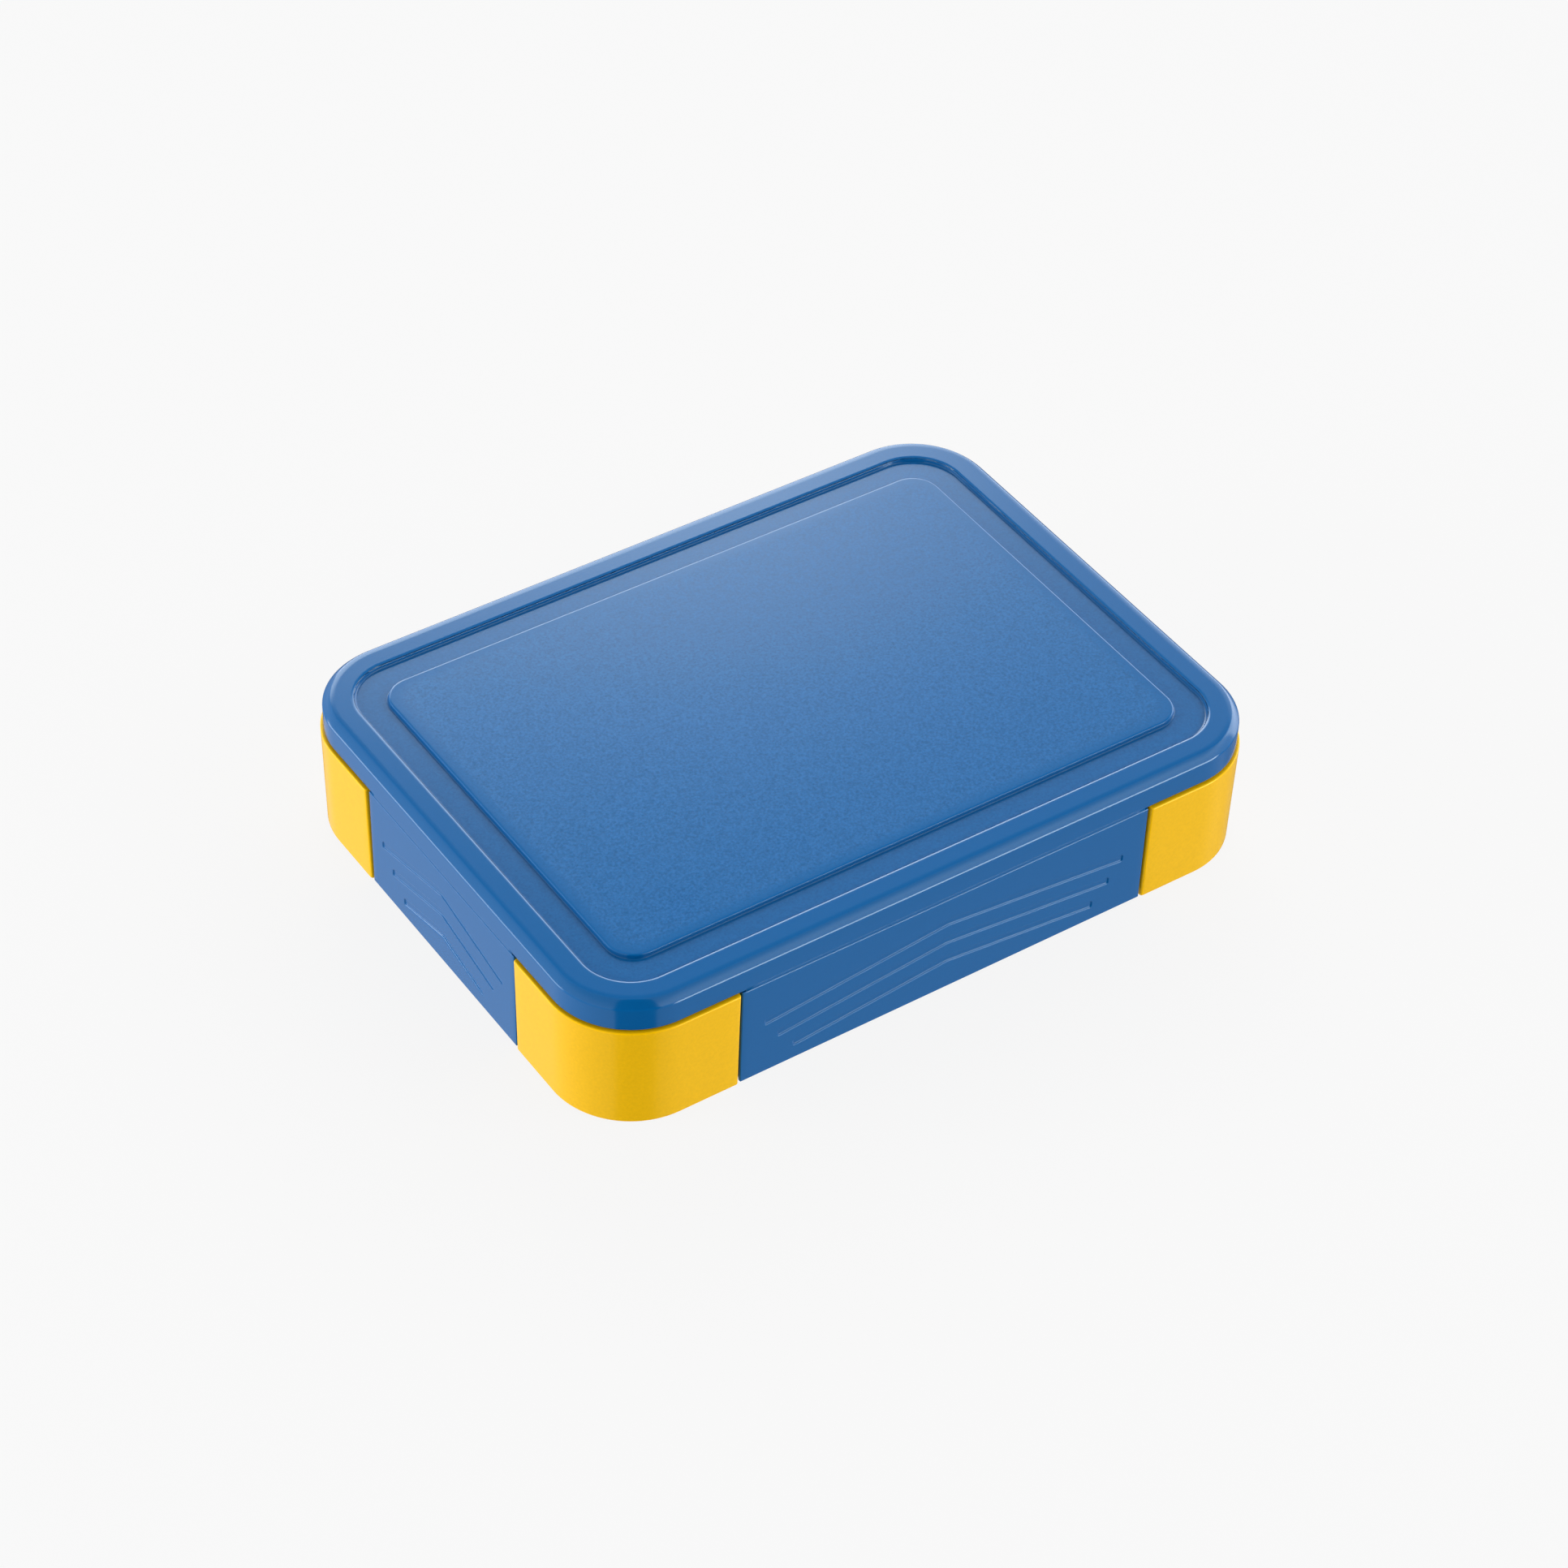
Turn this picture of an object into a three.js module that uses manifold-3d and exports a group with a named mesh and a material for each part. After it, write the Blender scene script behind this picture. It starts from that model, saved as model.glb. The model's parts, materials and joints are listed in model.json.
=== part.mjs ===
// Bento lunch box: a divided tray inside a box, under a lid with four locking flaps on living hinges.
// Millimetres, +Z up, X along the long side, origin at the middle of the footprint on the table.
import * as THREE from 'three';
import { mergeVertices } from 'three/addons/utils/BufferGeometryUtils.js';
import Module from 'manifold-3d';

const wasm = await Module();
wasm.setup();

// ---- Driving dimensions ---------------------------------------------------------------------------
// Everything that follows the plan outline is given as an inset from the lid's edge, so the whole box
// follows these three sizes.
const LID_LENGTH = 250;
const LID_WIDTH = 185.4;
const LID_RADIUS = 27.4;
const MIN_RADIUS = 2;

const HEIGHT = 50;                       // table to the top of the lid's rim and panel
const FOOT = 0.8;                        // height of the foot ring, and of every lower edge above the table
const HINGE_Z = HEIGHT - 10.7;           // axis of the living hinges
const EDGE_Z = HEIGHT - 2.4;             // the lid's outer edge, top of its skirt
const WALL = 1.8;                        // moulded wall
const GAP = 0.35;                        // clearance between neighbouring pieces

const CORNER_PROUD = 1.0;                // base corners outside the lid's edge, at their top
const CORNER_DRAFT = 0.65;               // how far the corners draw in down to the table
const CORNER_TOP = HINGE_Z - 0.4;        // ledge that the skirt stands over
const CORNER_ROUND = 0.8;                // rounding along the corners' top edge

const LIP_OUT = 3.0;                     // insets of the sealing lip's two faces
const LIP_IN = LIP_OUT + WALL;
const LIP_TOP = EDGE_Z - 3.1;
const SIDE_WALL = 4.0;                   // inset of the base wall behind the flaps
const CAVITY = SIDE_WALL + WALL;         // inset of the base's inner wall
const COLLAR = 2.5;                      // height of the collar under the lip, above the set-back wall
const FLOOR_TOP = FOOT + WALL;
const FOOT_INSET = 9;
const FOOT_WIDTH = 3;

const RIM_WIDTH = 9.9;                   // lid, from the edge inwards: rim, sunk ring, raised panel
const RING_SLOPE = 0.8;
const PANEL_INSET = 20.2;
const RING_DEPTH = 1.55;
const SHOULDER = 2.6;                    // width of the curved shoulder outside the flat rim
const RIM_CORNER = 17.2;                 // corner radii, in plan, of the rim's inner edge and of the panel
const PANEL_CORNER = 9.3;
const SKIRT_BOTTOM = HINGE_Z + 0.75;
const SKIRT_IN = 2.2;
const RIB_OUT = LIP_IN + 0.4;            // rib inside the lip
const RIB_WIDTH = 1.4;
const RIB_BOTTOM = HINGE_Z + 2.6;

const FLAP_OUT = 0.2;                    // flap face outside the lid's edge
const FLAP_THICK = 1.8;
const FLAP_TOP = HINGE_Z - 0.75;
const FLAP_BOTTOM = FOOT + 0.03;
const FLAP_HEIGHT = FLAP_TOP - FLAP_BOTTOM;
const CORNER_ARM = 49.2;                 // how far each corner reaches along the two sides
const FLAP_SPAN_LONG = LID_LENGTH / 2 - CORNER_ARM;
const FLAP_SPAN_SHORT = LID_WIDTH / 2 - CORNER_ARM;
const FLAP_SIDE_GAP = 0.8;
const FLAP_LEAN = 0.3;                    // how far a flap's foot lies inside its top
const FLAP_TILT = Math.atan(FLAP_LEAN / (HINGE_Z - FOOT));
const AXIS_OUT = -0.2;                   // hinge axis, outside the lid's edge when positive
const WEB_THICK = 0.4;
const WEB_HALF = 0.4;

const RIDGE_Z = 0.535 * HINGE_Z;         // catch ridge on the base wall, and the flap's bead below it
const RIDGE_REACH = SIDE_WALL - 3.0;
const BEAD_REACH = 0.8;
const BEAD_Z = RIDGE_Z - 2.6;

const GROOVE_WIDTH = 2.5;
const GROOVE_DEPTH = 0.5;
const LONG_SLOPE = 0.104;                // the grooves run up to a bend at the middle of the flap
const SHORT_SLOPE = 0.228;
const GROOVES = [                        // height of the ends' lower edge, and how far each end is held
  { low: 0.525 * FLAP_HEIGHT, back: 8.5, shortBack: 7.3 },    // back from the flap's own end
  { low: 0.335 * FLAP_HEIGHT, back: 13.4, shortBack: 13.1 },
  { low: 0.14 * FLAP_HEIGHT, back: 19.2, shortBack: 19.6 },
];

const TRAY_RIM_TOP = HINGE_Z - 0.15;    // tray hangs by its rim on the shelf inside the base
const TRAY_RIM_THICK = 1.5;
const TRAY_WALL = 1.4;
const TRAY_FLOOR = FLOOR_TOP + 1.9;
const TRAY_INSET = CAVITY + 0.8;
const TRAY_LAND = 4;                     // land between two compartments
const TUB_CORNER = LID_RADIUS - TRAY_INSET - TRAY_WALL;
const SPLIT_X = 0.56;                    // share of the length for the two left compartments
const SPLIT_LEFT = 0.6;                  // share of the depth for the front compartments, left and right
const SPLIT_RIGHT = 0.42;
const CORNER_STEPS = 4;                  // half the number of flats in a quarter turn

const BLUE = new THREE.Color(0x2c66a6);
const YELLOW = new THREE.Color(0xf0bb1e);

// ---- Solids ----------------------------------------------------------------------------------------
function solid(geometry) {
  geometry.deleteAttribute('normal');
  geometry.deleteAttribute('uv');
  const merged = mergeVertices(geometry, 1e-5);
  return new wasm.Manifold(new wasm.Mesh({
    numProp: 3,
    vertProperties: new Float32Array(merged.attributes.position.array),
    triVerts: new Uint32Array(merged.index.array),
  }));
}

function toMesh(name, body, color, roughness) {
  const data = body.getMesh();
  const geometry = new THREE.BufferGeometry();
  geometry.setAttribute('position', new THREE.BufferAttribute(new Float32Array(data.vertProperties), 3));
  geometry.setIndex(new THREE.BufferAttribute(new Uint32Array(data.triVerts), 1));
  geometry.computeVertexNormals();
  const mesh = new THREE.Mesh(geometry, new THREE.MeshStandardMaterial({ color, roughness, metalness: 0 }));
  mesh.name = name;
  return mesh;
}

function box(x0, x1, y0, y1, z0, z1) {
  const geometry = new THREE.BoxGeometry(x1 - x0, y1 - y0, z1 - z0);
  geometry.translate((x0 + x1) / 2, (y0 + y1) / 2, (z0 + z1) / 2);
  return solid(geometry);
}

function roundedOutline(halfX, halfY, radius) {
  const x = halfX - radius;
  const y = halfY - radius;
  const quarter = Math.PI / 2;
  const shape = new THREE.Shape();
  shape.absarc(x, y, radius, 0, quarter, false);
  shape.absarc(-x, y, radius, quarter, 2 * quarter, false);
  shape.absarc(-x, -y, radius, 2 * quarter, 3 * quarter, false);
  shape.absarc(x, -y, radius, 3 * quarter, 4 * quarter, false);
  shape.closePath();
  return shape;
}

// A skin through a list of rounded rectangles { halfX, halfY, radius, z }, closed by the first and the
// last: an extruded outline whose every layer is then taken to its own size and height.
function loft(layers, centreX = 0, centreY = 0) {
  const count = layers.length - 1;
  const geometry = new THREE.ExtrudeGeometry(roundedOutline(20, 20, 10), {
    depth: count, steps: count, bevelEnabled: false, curveSegments: CORNER_STEPS,
  });
  const position = geometry.attributes.position;
  for (let i = 0; i < position.count; i += 1) {
    const layer = layers[Math.round(position.getZ(i))];
    const x = position.getX(i);
    const y = position.getY(i);
    const armX = layer.halfX - layer.radius + (Math.abs(x) - 10) / 10 * layer.radius;
    const armY = layer.halfY - layer.radius + (Math.abs(y) - 10) / 10 * layer.radius;
    position.setXYZ(i, centreX + Math.sign(x) * armX, centreY + Math.sign(y) * armY, layer.z);
  }
  return solid(geometry);
}

// A layer of the box's own outline, drawn in by `inset`.
function ring(inset, z, radius = LID_RADIUS - inset) {
  const halfX = LID_LENGTH / 2 - inset;
  const halfY = LID_WIDTH / 2 - inset;
  return { halfX, halfY, radius: Math.max(radius, MIN_RADIUS), z };
}

// ---- The four sides --------------------------------------------------------------------------------
const UP = new THREE.Vector3(0, 0, 1);
const LONG = { half: LID_WIDTH / 2, span: FLAP_SPAN_LONG, short: false };
const SHORT = { half: LID_LENGTH / 2, span: FLAP_SPAN_SHORT, short: true };
const SIDES = [
  { name: 'front', out: new THREE.Vector3(0, -1, 0), ...LONG },
  { name: 'back', out: new THREE.Vector3(0, 1, 0), ...LONG },
  { name: 'left', out: new THREE.Vector3(-1, 0, 0), ...SHORT },
  { name: 'right', out: new THREE.Vector3(1, 0, 0), ...SHORT },
];

// Frame of a side: x outwards, y up, z along the side, with its zero on the lid's edge at height z.
function sideMatrix(side, out, z) {
  const along = new THREE.Vector3().crossVectors(side.out, UP);
  const matrix = new THREE.Matrix4().makeBasis(side.out, UP, along);
  const place = side.out.clone().multiplyScalar(side.half + out);
  return matrix.setPosition(place.x, place.y, z);
}

// A bar of constant section (points are [outwards, up]) lying along a side, `half` long each way.
function bar(points, half) {
  const shape = new THREE.Shape(points.map(([x, y]) => new THREE.Vector2(x, y)));
  const geometry = new THREE.ExtrudeGeometry(shape, { depth: 2 * half, steps: 1, bevelEnabled: false });
  geometry.translate(0, 0, -half);
  return geometry;
}

// ---- Base ------------------------------------------------------------------------------------------
function baseShell() {
  const c = CORNER_PROUD;
  const low = c - CORNER_DRAFT;
  const r = CORNER_ROUND;
  return loft([
    ring(FOOT_INSET + FOOT_WIDTH + 0.6, FOOT),
    ring(FOOT_INSET + FOOT_WIDTH, 0),
    ring(FOOT_INSET, 0),
    ring(FOOT_INSET - 0.6, FOOT),
    ring(-low + 0.5, FOOT),
    ring(-low, FOOT + 0.5),
    ring(-c, CORNER_TOP - r),
    ring(-c + 0.3 * r, CORNER_TOP - 0.3 * r),
    ring(-c + r, CORNER_TOP),
    ring(LIP_OUT, CORNER_TOP),
    ring(LIP_OUT, LIP_TOP - 0.4),
    ring(LIP_OUT + 0.4, LIP_TOP),
    ring(LIP_IN - 0.4, LIP_TOP),
    ring(LIP_IN, LIP_TOP - 0.4),
    ring(LIP_IN, CORNER_TOP - COLLAR + 0.9),
    ring(CAVITY, CORNER_TOP - COLLAR + 0.9),
    ring(CAVITY, FLOOR_TOP + 4),
    ring(CAVITY + 1.2, FLOOR_TOP + 1.2),
    ring(CAVITY + 4, FLOOR_TOP),
  ]);
}

// The set-back behind one flap: deep up to the collar, shallow beside it.
function flapRecess(side) {
  const half = side.span + FLAP_SIDE_GAP;
  const collar = CORNER_TOP - COLLAR;
  const points = [
    [CORNER_PROUD + 4, -2], [CORNER_PROUD + 4, CORNER_TOP + 0.2], [-LIP_OUT, CORNER_TOP + 0.2],
    [-LIP_OUT, collar], [-SIDE_WALL, collar - (SIDE_WALL - LIP_OUT)], [-SIDE_WALL, -2],
  ];
  return solid(bar(points, half).applyMatrix4(sideMatrix(side, 0, 0)));
}

// Catch ridge for the flap's bead.
function catchRidge(side) {
  const tip = -SIDE_WALL + RIDGE_REACH;
  const root = -SIDE_WALL - 0.6;
  const points = [[root, -1.4], [-SIDE_WALL, -1.2], [tip, -0.4], [tip, 0.5], [-SIDE_WALL, 1.8], [root, 2]];
  return solid(bar(points, side.span * 0.6).applyMatrix4(sideMatrix(side, 0, RIDGE_Z)));
}

// The corners are hollow from inside, so their walls are as thin as the rest.
function cornerHollows() {
  const inset = WALL + 0.2 - CORNER_PROUD + CORNER_DRAFT;
  const top = CORNER_TOP - WALL - 0.6;
  const longHalf = FLAP_SPAN_LONG + FLAP_SIDE_GAP + WALL;
  const shortHalf = FLAP_SPAN_SHORT + FLAP_SIDE_GAP + WALL;
  let hollow = loft([
    ring(inset + 1.2, FLOOR_TOP + 0.4), ring(inset, FLOOR_TOP + 2), ring(inset - 0.4, top - 2),
    ring(CAVITY, top + 1.2),
  ]);
  hollow = hollow.subtract(box(-longHalf, longHalf, -LID_WIDTH, LID_WIDTH, 0, HEIGHT));
  return hollow.subtract(box(-LID_LENGTH, LID_LENGTH, -shortHalf, shortHalf, 0, HEIGHT));
}

function baseBox() {
  let body = baseShell();
  for (const side of SIDES) {
    body = body.subtract(flapRecess(side)).add(catchRidge(side));
  }
  return toMesh('base_box', body.subtract(cornerHollows()), YELLOW, 0.42);
}

// ---- Lid -------------------------------------------------------------------------------------------
function lid() {
  const ringZ = HEIGHT - RING_DEPTH;
  const under = HEIGHT - WALL;
  const ringUnder = ringZ - WALL;
  const channel = EDGE_Z - 0.8;
  const rimIn = RIB_OUT + RIB_WIDTH + 1.8;
  const slope = RING_SLOPE;
  return toMesh('lid', loft([
    ring(PANEL_INSET + 1.6, under, PANEL_CORNER - 1.5),
    ring(PANEL_INSET + 0.7, ringUnder, PANEL_CORNER - 0.6),
    ring(rimIn + 0.2, ringUnder, RIM_CORNER + 2.4),
    ring(rimIn, under, RIM_CORNER + 2.6),
    ring(RIB_OUT + RIB_WIDTH, under),
    ring(RIB_OUT + RIB_WIDTH - 0.1, RIB_BOTTOM),
    ring(RIB_OUT, RIB_BOTTOM),
    ring(RIB_OUT, channel),
    ring(SKIRT_IN, channel),
    ring(SKIRT_IN - 0.1, SKIRT_BOTTOM),
    ring(0, SKIRT_BOTTOM),
    ring(0, EDGE_Z - 0.3),
    ring(0.2, EDGE_Z + 0.1),
    ring(0.28 * SHOULDER, EDGE_Z + 0.86),
    ring(0.56 * SHOULDER, HEIGHT - 0.79),
    ring(0.8 * SHOULDER, HEIGHT - 0.27),
    ring(SHOULDER, HEIGHT),
    ring(RIM_WIDTH - 0.4, HEIGHT, RIM_CORNER + 0.4),
    ring(RIM_WIDTH + 0.15, HEIGHT - 0.35, RIM_CORNER),
    ring(RIM_WIDTH + 0.6 * slope, ringZ + 0.25, RIM_CORNER - 0.5),
    ring(RIM_WIDTH + slope, ringZ, RIM_CORNER - 0.8),
    ring(PANEL_INSET - 0.4 - slope, ringZ, PANEL_CORNER + 1.1),
    ring(PANEL_INSET - 0.4 - 0.6 * slope, ringZ + 0.25, PANEL_CORNER + 0.8),
    ring(PANEL_INSET - 0.4, HEIGHT - 0.3, PANEL_CORNER + 0.4),
    ring(PANEL_INSET, HEIGHT, PANEL_CORNER),
  ]), BLUE, 0.4);
}

// Soft ring in the channel between skirt and rib, above the lip.
function lidGasket() {
  const top = EDGE_Z - 0.8 - GAP;
  const bottom = LIP_TOP + GAP;
  const outer = loft([ring(SKIRT_IN + 0.8, bottom), ring(SKIRT_IN + GAP + 0.1, bottom + 0.5),
    ring(SKIRT_IN + GAP + 0.1, top)]);
  const inner = loft([ring(RIB_OUT - GAP - 0.4, bottom - 1), ring(RIB_OUT - GAP - 0.4, bottom),
    ring(RIB_OUT - GAP, bottom + 0.5), ring(RIB_OUT - GAP, top + 1)]);
  return toMesh('lid_gasket', outer.subtract(inner), new THREE.Color(0xe9e9e4), 0.6);
}

// ---- Flaps -----------------------------------------------------------------------------------------
// One bent groove, drawn in the flap's own plane as [along, up from the hinge].
function grooveShape(end, low, slope) {
  const w = GROOVE_WIDTH;
  const bend = low + slope * end;
  const points = [
    [-end, low + 0.5], [-end + 0.5, low], [0, bend], [end - 0.5, low], [end, low + 0.5],
    [end, low + w - 0.5], [end - 0.5, low + w], [0, bend + w], [-end + 0.5, low + w], [-end, low + w - 0.5],
  ];
  return new THREE.Shape(points.map(([x, y]) => new THREE.Vector2(x, y)));
}

function flap(side) {
  const face = FLAP_OUT - AXIS_OUT;
  const back = face - FLAP_THICK;
  const top = FLAP_TOP - HINGE_Z;
  const foot = FLAP_BOTTOM - HINGE_Z;
  const bead = BEAD_Z - HINGE_Z;
  const tip = back - BEAD_REACH;
  let body = solid(bar([
    [face, top - 0.2], [face - 0.3, top], [back + 0.3, top], [back, top - 0.3],
    [back, bead + 1], [tip, bead + 0.5], [tip, bead - 0.2], [back, bead - 1.5],
    [back, foot + 2.5], [back + 0.7, foot], [face - 0.2, foot], [face, foot + 0.2],
  ], side.span));
  for (const groove of GROOVES) {
    const end = side.span - (side.short ? groove.shortBack : groove.back);
    const outline = grooveShape(end, foot + groove.low, side.short ? SHORT_SLOPE : LONG_SLOPE);
    const cut = new THREE.ExtrudeGeometry(outline, { depth: 2, steps: 1, bevelEnabled: false });
    cut.applyMatrix4(new THREE.Matrix4().makeRotationY(Math.PI / 2));
    cut.translate(face - GROOVE_DEPTH, 0, 0);
    body = body.subtract(solid(cut));
  }
  const mesh = toMesh(`flap_${side.name}`, body, BLUE, 0.4);
  const tilt = new THREE.Matrix4().makeRotationZ(-FLAP_TILT);
  sideMatrix(side, AXIS_OUT, HINGE_Z).multiply(tilt).decompose(mesh.position, mesh.quaternion, mesh.scale);
  return mesh;
}

// Living hinge: a thin web on the hinge axis.
function hingeWeb(side) {
  const t = WEB_THICK / 2;
  const body = solid(bar([[-t, -WEB_HALF], [t, -WEB_HALF], [t, WEB_HALF], [-t, WEB_HALF]], side.span - 1.4));
  const mesh = toMesh(`hinge_${side.name}`, body, BLUE, 0.4);
  sideMatrix(side, AXIS_OUT, HINGE_Z).decompose(mesh.position, mesh.quaternion, mesh.scale);
  return mesh;
}

// ---- Tray ------------------------------------------------------------------------------------------
// The four compartments as { x, y, halfX, halfY } at their mouths: two columns, each split by a land.
function compartments() {
  const x0 = -LID_LENGTH / 2 + TRAY_INSET + TRAY_WALL;
  const y0 = -LID_WIDTH / 2 + TRAY_INSET + TRAY_WALL;
  const splitX = x0 + SPLIT_X * (-2 * x0);
  const cells = [];
  for (const [left, right, share] of [[x0, splitX - TRAY_LAND / 2, SPLIT_LEFT],
    [splitX + TRAY_LAND / 2, -x0, SPLIT_RIGHT]]) {
    const splitY = y0 + share * (-2 * y0);
    for (const [low, high] of [[y0, splitY - TRAY_LAND / 2], [splitY + TRAY_LAND / 2, -y0]]) {
      cells.push({
        x: (left + right) / 2, y: (low + high) / 2, halfX: (right - left) / 2, halfY: (high - low) / 2,
      });
    }
  }
  return cells;
}

// A tub with drawn-in walls and a rounded floor, `grow` bigger all round than the compartment.
function tub(cell, grow, top) {
  const layer = (inset, z) => ({
    halfX: cell.halfX + grow - inset, halfY: cell.halfY + grow - inset,
    radius: Math.max(TUB_CORNER + grow - inset, MIN_RADIUS), z,
  });
  const floor = TRAY_FLOOR - grow;
  const layers = [layer(7, floor), layer(3.6, floor + 1.2), layer(2.2, floor + 4.6), layer(0, top)];
  return loft(layers, cell.x, cell.y);
}

function innerTray() {
  const rimLow = TRAY_RIM_TOP - TRAY_RIM_THICK;
  const rim = LIP_IN + 0.4;
  let body = loft([ring(rim + 0.3, rimLow), ring(rim, rimLow + 0.3), ring(rim, TRAY_RIM_TOP - 0.4),
    ring(rim + 0.4, TRAY_RIM_TOP)]);
  for (const cell of compartments()) {
    body = body.add(tub(cell, TRAY_WALL, TRAY_RIM_TOP - 0.4));
  }
  for (const cell of compartments()) {
    body = body.subtract(tub(cell, 0, TRAY_RIM_TOP + 1));
  }
  return toMesh('inner_tray', body, new THREE.Color(0xe8eaec), 0.45);
}

// ---- Assembly --------------------------------------------------------------------------------------
const bento = new THREE.Group();
bento.add(baseBox(), innerTray(), lid(), lidGasket());
for (const side of SIDES) {
  bento.add(hingeWeb(side), flap(side));
}

export default bento;
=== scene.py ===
"""Bento lunch box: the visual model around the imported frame.

Lengths are worked out in millimetres and put into the meshes in metres. The plan outline of every moulded
piece is a rounded rectangle. An inset moves it in, and each height takes its own inset and corner radius.
"""
import json
import math

import bmesh
import bpy
import numpy as np
from mathutils import Matrix, Vector, geometry


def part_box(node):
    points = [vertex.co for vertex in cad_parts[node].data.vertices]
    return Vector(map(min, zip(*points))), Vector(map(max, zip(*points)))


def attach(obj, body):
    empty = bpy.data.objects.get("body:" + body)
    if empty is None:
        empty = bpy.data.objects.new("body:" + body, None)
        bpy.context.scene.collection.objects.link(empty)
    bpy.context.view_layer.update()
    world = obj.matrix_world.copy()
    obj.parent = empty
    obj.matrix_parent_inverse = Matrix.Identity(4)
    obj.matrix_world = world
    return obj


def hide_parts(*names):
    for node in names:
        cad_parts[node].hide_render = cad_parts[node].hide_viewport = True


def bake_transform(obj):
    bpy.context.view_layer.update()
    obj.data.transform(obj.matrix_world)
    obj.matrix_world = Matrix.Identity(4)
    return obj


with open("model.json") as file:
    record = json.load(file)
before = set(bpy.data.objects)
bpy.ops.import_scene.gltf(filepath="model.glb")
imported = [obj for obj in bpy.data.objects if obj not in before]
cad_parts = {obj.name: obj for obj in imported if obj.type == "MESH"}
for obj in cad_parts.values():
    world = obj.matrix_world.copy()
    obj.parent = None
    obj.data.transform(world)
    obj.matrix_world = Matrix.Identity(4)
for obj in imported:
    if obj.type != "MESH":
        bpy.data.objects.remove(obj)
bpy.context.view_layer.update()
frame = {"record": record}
MM = 0.001

# ---- Sizes read from the frame --------------------------------------------------------------------
HALF_X, HALF_Y, TOP = np.array(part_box("lid")[1]) / MM
JOINTS = {j["name"]: j for j in frame["record"]["behaviour"]["joints"]}
HINGE_Z = JOINTS["flap_front_swing"]["pos_m"][2] / MM
# each side's outward direction, and half the length of its flap
SIDES = {"front": (0, -1), "back": (0, 1), "left": (-1, 0), "right": (1, 0)}
SPAN = {side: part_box(f"flap_{side}")[1][1 if nx else 0] / MM for side, (nx, ny) in SIDES.items()}

# ---- Sizes of the moulding ------------------------------------------------------------------------
CORNER = 27.4                                   # plan radius at the lid's edge
EDGE_Z = TOP - 2.4                              # the lid's edge line, where the shoulder meets the skirt
LEDGE_Z = HINGE_Z - 0.4                         # top of the base's corner blocks
LIP_Z = EDGE_Z - 3.1                            # top of the base's sealing lip
CHANNEL_Z = EDGE_Z - 0.8                        # roof of the lid's gasket channel
FOOT = 0.8                                      # how far the underside stands above the table
SIDE_GAP = 0.8                                  # between a flap's end and the corner block beside it


# ---- Mesh helpers ---------------------------------------------------------------------------------
def make_piece(name, verts, faces, material, attributes=None):
    """Vertices in millimetres and a list of faces become one smooth object at the origin."""
    mesh = bpy.data.meshes.new(name)
    mesh.from_pydata((np.asarray(verts) * MM).tolist(), [], faces)
    mesh.polygons.foreach_set("use_smooth", np.ones(len(mesh.polygons), bool))
    for key, values in (attributes or {}).items():
        layer = mesh.attributes.new(key, "FLOAT", "POINT")
        layer.data.foreach_set("value", np.asarray(values, np.float32))
    mesh.materials.append(material)
    mesh.update()
    obj = bpy.data.objects.new(name, mesh)
    bpy.context.scene.collection.objects.link(obj)
    return obj


def grid_faces(rows, columns, wrap=True, first=0):
    """Quads of a rows x columns grid, row after row, closed round the columns when wrap is set."""
    span = columns if wrap else columns - 1
    row, col = np.meshgrid(np.arange(rows - 1), np.arange(span), indexing="ij")
    a = first + row * columns + col
    b = first + row * columns + (col + 1) % columns
    return np.stack([a, b, b + columns, a + columns], -1).reshape(-1, 4).tolist()


def rounded(points, segments=5):
    """A polyline with its corners rounded.

    Each point is (coordinates..., cut). Where cut is above 0 the corner gives way to the parabola that leaves
    one side and meets the other at that distance from the corner, (1-t)^2 A + 2t(1-t) P + t^2 B for t from 0
    to 1, with one more point up to half a cut further out on each side, which keeps the flats flat.
    """
    pts = np.array([p[:-1] for p in points], float)
    cuts = [p[-1] for p in points]
    spare = np.linalg.norm(np.diff(pts[:, :2], axis=0), axis=1) - np.array(cuts[:-1]) - np.array(cuts[1:])
    out, t = [], np.linspace(0, 1, segments + 1)[:, None]
    for i, cut in enumerate(cuts):
        if cut <= 0 or i in (0, len(cuts) - 1):
            out.append(pts[i:i + 1])
            continue
        before, after = pts[i - 1] - pts[i], pts[i + 1] - pts[i]
        before, after = before / np.linalg.norm(before[:2]), after / np.linalg.norm(after[:2])
        a, b = pts[i] + before * cut, pts[i] + after * cut
        curve = (1 - t) ** 2 * a + 2 * t * (1 - t) * pts[i] + t ** 2 * b
        lead, tail = (max(0.01, min(cut * 0.5, room * 0.45)) for room in (spare[i - 1], spare[i]))
        out.append(np.vstack([a + before * lead, curve, b + after * tail]))
    return np.vstack(out)


def column(values):
    """Values that go with the rows of a grid, shaped to spread over its columns."""
    return np.asarray(values)[:, None]


def turning(inset, z):
    """How sharply a profile turns at each of its points, from 0 on a flat to 1 on an edge."""
    d = np.diff(np.stack([inset, z], 1), axis=0)
    angle = np.unwrap(np.arctan2(d[:, 1], d[:, 0]))
    length = np.hypot(*d.T) + 1e-6
    bend = np.zeros(len(inset))
    bend[1:-1] = -np.diff(angle) / (0.5 * (length[1:] + length[:-1]))
    return np.clip(bend / 2.0, -1, 1)


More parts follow.
